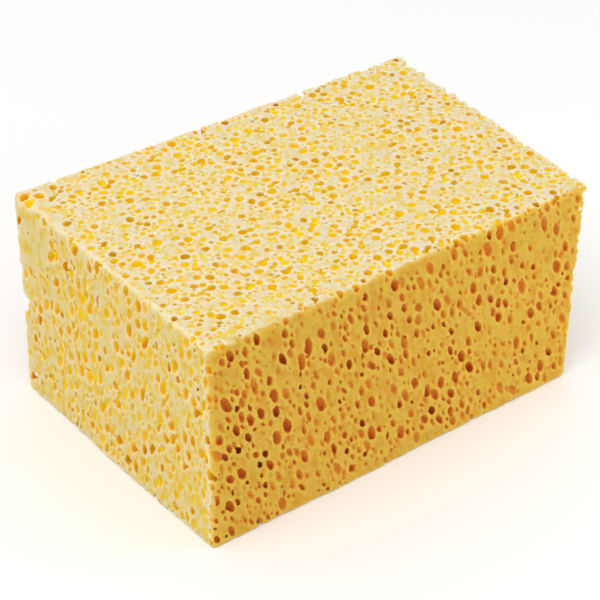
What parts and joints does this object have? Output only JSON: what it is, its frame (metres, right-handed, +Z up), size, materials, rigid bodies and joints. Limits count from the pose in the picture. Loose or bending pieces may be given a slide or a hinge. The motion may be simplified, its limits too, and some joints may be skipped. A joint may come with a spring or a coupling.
{
  "type": "grout sponge",
  "caption": "Rectangular block of coarse-pored yellow cellulose sponge, held in the hand to wash grout off tiles.",
  "frame": {"origin": "middle of the broad face that the block stands on", "axes": "+Z up, out of the other broad face; +X along the block's length; -Y out of the long side that is taken as the front"},
  "size_m": [0.17, 0.11, 0.086],
  "materials": {
    "cellulose": "matte, open-pored"
  },
  "bodies": {
    "root": {"sponge_block": "cellulose"}
  },
  "joints": []
}
